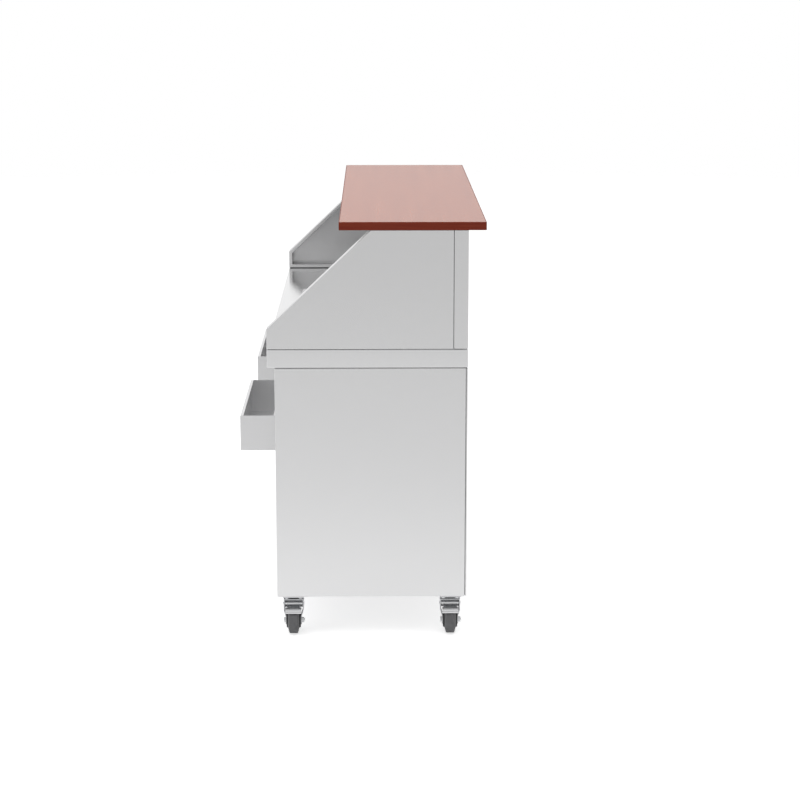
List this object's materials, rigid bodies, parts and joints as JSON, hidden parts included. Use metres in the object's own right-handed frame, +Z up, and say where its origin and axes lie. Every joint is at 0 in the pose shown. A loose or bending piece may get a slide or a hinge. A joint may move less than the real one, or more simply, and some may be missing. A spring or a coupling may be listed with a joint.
{
  "type": "mobile bar unit",
  "caption": "Stainless mobile bar on swivel casters with a raised wood-laminate bar top, ice well, hook-on speed rails and open storage below.",
  "frame": {"origin": "on the floor under the middle of the unit's bounding box", "axes": "+X along the bar, +Y to the guests' side, -Y to the service side with the speed rails, +Z up"},
  "size_m": [1.531, 0.669, 1.15],
  "materials": {
    "stainless_panel": "fine satin stainless sheet",
    "stainless_worktop": "polished stainless sheet",
    "inner_sheet": "plain mill-finish sheet",
    "bright_fasteners": "bright zinc",
    "zinc_plate": "zinc plated pressed steel",
    "bar_laminate": "satin red-brown wood laminate",
    "bar_edge_banding": "satin red-brown edge banding",
    "sealing_rubber": "matte dark rubber",
    "insulation_foam": "rigid foam board",
    "valve_brass": "turned brass",
    "lever_red": "red enamel",
    "knob_black": "black moulded plastic",
    "hub_plastic": "grey moulded plastic",
    "tyre_rubber": "grey moulded rubber"
  },
  "bodies": {
    "root": {"lower_end_panel_left": "stainless_panel", "lower_end_panel_right": "stainless_panel", "lower_guest_panel": "stainless_panel", "service_apron": "stainless_panel", "upper_end_panel_left": "stainless_panel", "upper_end_panel_right": "stainless_panel", "upper_end_frame_left": "stainless_panel", "upper_end_frame_right": "stainless_panel", "upper_guest_panel": "stainless_panel", "ice_bin": "stainless_panel", "worktop": "stainless_worktop", "base_channel_front": "inner_sheet", "base_channel_rear": "inner_sheet", "base_deck": "inner_sheet", "partition_left": "inner_sheet", "partition_right": "inner_sheet", "worktop_stiffeners": "inner_sheet", "bar_top_bearer": "inner_sheet", "rail_hangers": "inner_sheet", "bar_top_screws": "bright_fasteners", "hanger_rivets": "bright_fasteners", "caster_bolts": "bright_fasteners", "drain_fitting": "bright_fasteners", "bar_top": "bar_laminate", "bar_top_edging": "bar_edge_banding", "guest_panel_tape": "sealing_rubber", "carcass_gasket": "sealing_rubber", "gantry_gasket": "sealing_rubber", "caster_seals": "sealing_rubber", "ice_bin_insulation": "insulation_foam", "drain_valve": "valve_brass", "caster_plates": "zinc_plate"},
    "ice_lid": {"ice_bin_lid": "stainless_panel", "ice_bin_lid_knob": "knob_black"},
    "drain_lever": {"drain_valve_lever": "lever_red"},
    "rail_left": {"speed_rail_left": "stainless_panel"},
    "rail_right": {"speed_rail_right": "stainless_panel"},
    "swivel_left_front": {"fork_left_front": "zinc_plate", "axle_left_front": "bright_fasteners"},
    "wheel_left_front": {"hub_left_front": "hub_plastic", "tyre_left_front": "tyre_rubber"},
    "pedal_left_front": {"brake_pedal_left_front": "zinc_plate"},
    "swivel_left_rear": {"fork_left_rear": "zinc_plate", "axle_left_rear": "bright_fasteners"},
    "wheel_left_rear": {"hub_left_rear": "hub_plastic", "tyre_left_rear": "tyre_rubber"},
    "pedal_left_rear": {"brake_pedal_left_rear": "zinc_plate"},
    "swivel_right_front": {"fork_right_front": "zinc_plate", "axle_right_front": "bright_fasteners"},
    "wheel_right_front": {"hub_right_front": "hub_plastic", "tyre_right_front": "tyre_rubber"},
    "pedal_right_front": {"brake_pedal_right_front": "zinc_plate"},
    "swivel_right_rear": {"fork_right_rear": "zinc_plate", "axle_right_rear": "bright_fasteners"},
    "wheel_right_rear": {"hub_right_rear": "hub_plastic", "tyre_right_rear": "tyre_rubber"},
    "pedal_right_rear": {"brake_pedal_right_rear": "zinc_plate"}
  },
  "joints": [
    {"name": "ice_lid_slide", "type": "slide", "parent": "root", "child": "ice_lid", "axis": [1, 0, 0], "range_m": [-0.256, 0]},
    {"name": "drain_lever_turn", "type": "hinge", "parent": "root", "child": "drain_lever", "pos_m": [0, -0.0493, 0.5366], "axis": [0, 1, 0], "range_deg": [0, 90]},
    {"name": "rail_left_lift", "type": "slide", "parent": "root", "child": "rail_left", "axis": [0, 0, 1], "range_m": [0, 0.04]},
    {"name": "rail_right_lift", "type": "slide", "parent": "root", "child": "rail_right", "axis": [0, 0, 1], "range_m": [0, 0.04]},
    {"name": "swivel_left_front_turn", "type": "hinge", "parent": "root", "child": "swivel_left_front", "pos_m": [-0.698, -0.1905, 0.0945], "axis": [0, 0, 1], "continuous": true},
    {"name": "wheel_left_front_spin", "type": "hinge", "parent": "swivel_left_front", "child": "wheel_left_front", "pos_m": [-0.728, -0.1905, 0.0375], "axis": [0, 1, 0], "continuous": true},
    {"name": "pedal_left_front_press", "type": "hinge", "parent": "swivel_left_front", "child": "pedal_left_front", "pos_m": [-0.71774, -0.1905, 0.08193], "axis": [0, -1, 0], "range_deg": [0, 5.2]},
    {"name": "swivel_left_rear_turn", "type": "hinge", "parent": "root", "child": "swivel_left_rear", "pos_m": [-0.698, 0.2435, 0.0945], "axis": [0, 0, 1], "continuous": true},
    {"name": "wheel_left_rear_spin", "type": "hinge", "parent": "swivel_left_rear", "child": "wheel_left_rear", "pos_m": [-0.728, 0.2435, 0.0375], "axis": [0, 1, 0], "continuous": true},
    {"name": "pedal_left_rear_press", "type": "hinge", "parent": "swivel_left_rear", "child": "pedal_left_rear", "pos_m": [-0.71774, 0.2435, 0.08193], "axis": [0, -1, 0], "range_deg": [0, 5.2]},
    {"name": "swivel_right_front_turn", "type": "hinge", "parent": "root", "child": "swivel_right_front", "pos_m": [0.698, -0.1905, 0.0945], "axis": [0, 0, 1], "continuous": true},
    {"name": "wheel_right_front_spin", "type": "hinge", "parent": "swivel_right_front", "child": "wheel_right_front", "pos_m": [0.728, -0.1905, 0.0375], "axis": [0, 1, 0], "continuous": true},
    {"name": "pedal_right_front_press", "type": "hinge", "parent": "swivel_right_front", "child": "pedal_right_front", "pos_m": [0.71774, -0.1905, 0.08193], "axis": [0, 1, 0], "range_deg": [0, 5.2]},
    {"name": "swivel_right_rear_turn", "type": "hinge", "parent": "root", "child": "swivel_right_rear", "pos_m": [0.698, 0.2435, 0.0945], "axis": [0, 0, 1], "continuous": true},
    {"name": "wheel_right_rear_spin", "type": "hinge", "parent": "swivel_right_rear", "child": "wheel_right_rear", "pos_m": [0.728, 0.2435, 0.0375], "axis": [0, 1, 0], "continuous": true},
    {"name": "pedal_right_rear_press", "type": "hinge", "parent": "swivel_right_rear", "child": "pedal_right_rear", "pos_m": [0.71774, 0.2435, 0.08193], "axis": [0, 1, 0], "range_deg": [0, 5.2]}
  ]
}
